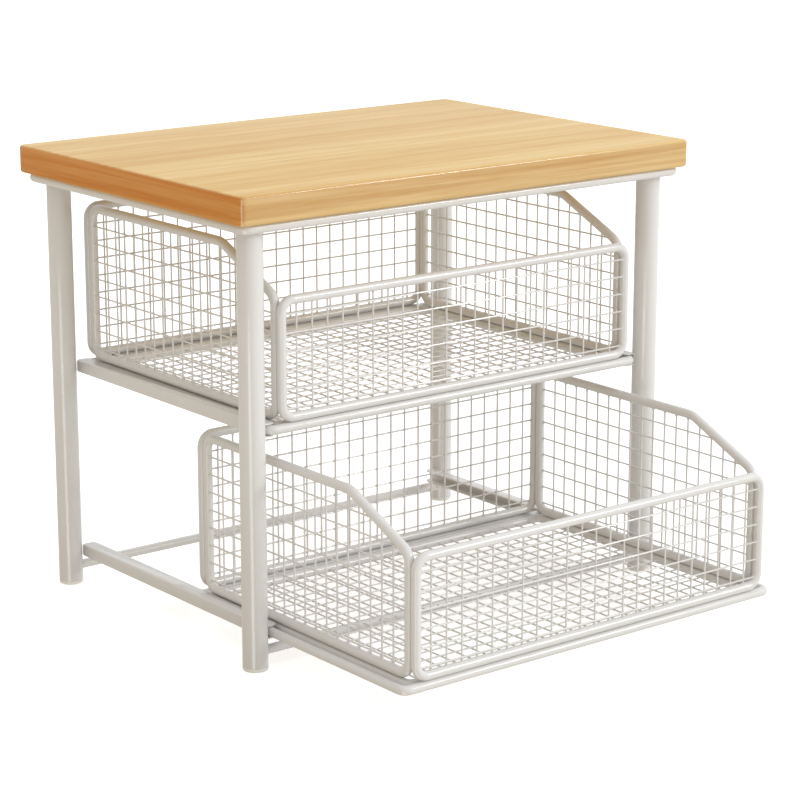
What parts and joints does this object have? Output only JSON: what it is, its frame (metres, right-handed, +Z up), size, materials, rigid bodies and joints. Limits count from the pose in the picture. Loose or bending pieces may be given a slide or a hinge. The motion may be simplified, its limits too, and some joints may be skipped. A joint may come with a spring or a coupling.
{
  "type": "countertop organizer",
  "caption": "Countertop organizer with a wooden top on a cream tube stand and sliding wire mesh drawers.",
  "frame": {"origin": "on the floor, under the middle of the whole with the lower drawer pulled out", "axes": "+X to the right seen from the front, +Y to the back, +Z up"},
  "size_m": [0.36, 0.3704, 0.298],
  "materials": {
    "board_wood": "satin",
    "frame_steel": "satin",
    "wire_steel": "satin",
    "foot_plastic": "matte",
    "plug_plastic": "matte",
    "screw_steel": "satin"
  },
  "bodies": {
    "stand": {"top_board": "board_wood", "top_ring": "frame_steel", "corner_plates": "frame_steel", "board_screws": "screw_steel", "leg_screws": "screw_steel", "leg_inserts": "plug_plastic", "leg_front_left": "frame_steel", "leg_front_right": "frame_steel", "leg_rear_left": "frame_steel", "leg_rear_right": "frame_steel", "foot_front_left": "foot_plastic", "foot_front_right": "foot_plastic", "foot_rear_left": "foot_plastic", "foot_rear_right": "foot_plastic", "upper_left_rail": "frame_steel", "upper_right_rail": "frame_steel", "lower_left_rail": "frame_steel", "lower_right_rail": "frame_steel", "front_cross_bar": "frame_steel", "rear_cross_bar": "frame_steel"},
    "upper_drawer": {"upper_tray_ring": "frame_steel", "upper_floor_frame": "frame_steel", "upper_floor_mesh": "wire_steel", "upper_front_frame": "frame_steel", "upper_front_mesh": "wire_steel", "upper_back_frame": "frame_steel", "upper_back_mesh": "wire_steel", "upper_left_frame": "frame_steel", "upper_left_mesh": "wire_steel", "upper_right_frame": "frame_steel", "upper_right_mesh": "wire_steel"},
    "lower_drawer": {"lower_tray_ring": "frame_steel", "lower_floor_frame": "frame_steel", "lower_floor_mesh": "wire_steel", "lower_front_frame": "frame_steel", "lower_front_mesh": "wire_steel", "lower_back_frame": "frame_steel", "lower_back_mesh": "wire_steel", "lower_left_frame": "frame_steel", "lower_left_mesh": "wire_steel", "lower_right_frame": "frame_steel", "lower_right_mesh": "wire_steel"}
  },
  "joints": [
    {"name": "upper_drawer_slide", "type": "slide", "parent": "stand", "child": "upper_drawer", "axis": [0, -1, 0], "range_m": [0, 0.15]},
    {"name": "lower_drawer_slide", "type": "slide", "parent": "stand", "child": "lower_drawer", "axis": [0, -1, 0], "range_m": [-0.13, 0.02]}
  ]
}
